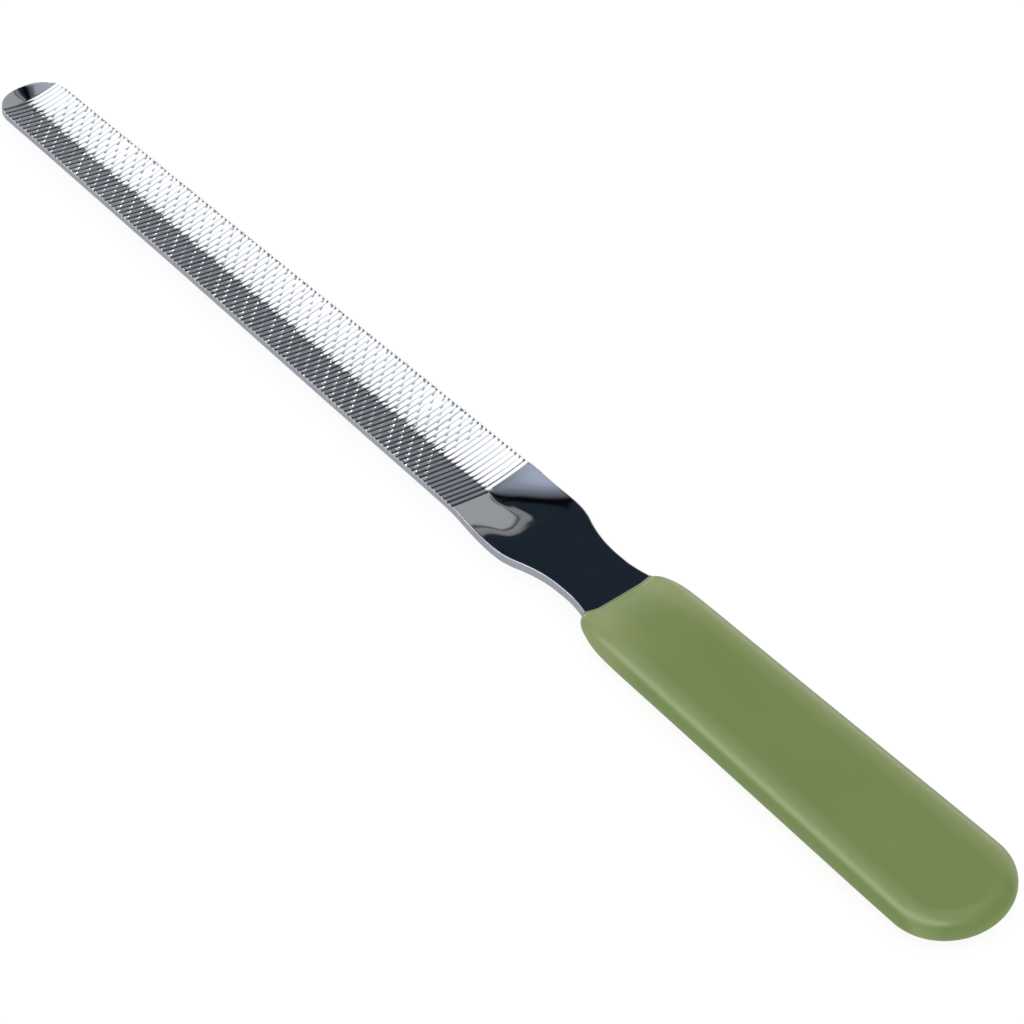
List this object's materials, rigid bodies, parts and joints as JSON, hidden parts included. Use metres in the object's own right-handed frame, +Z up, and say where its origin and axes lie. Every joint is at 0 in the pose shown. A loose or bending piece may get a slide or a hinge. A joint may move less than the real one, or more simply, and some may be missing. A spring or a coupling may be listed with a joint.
{
  "type": "pet nail file",
  "caption": "Flat hand file with a concave, cross-cut blade, rounded tip, narrowed flat neck and a soft dip-moulded grip.",
  "frame": {"origin": "centre of the bounding box in plan, at the height of the grip's flat underside", "axes": "+X toward the tip of the blade, +Y across the file, +Z up out of the toothed face"},
  "size_m": [0.2012, 0.0194, 0.0046],
  "materials": {
    "plated_steel": "bright plated, mirror smooth on the neck, fine cut teeth on the blade",
    "soft_vinyl": "smooth glossy dip-moulded soft vinyl, slightly translucent at thin edges"
  },
  "bodies": {
    "root": {"file_blank": "plated_steel", "dipped_grip": "soft_vinyl"}
  },
  "joints": []
}
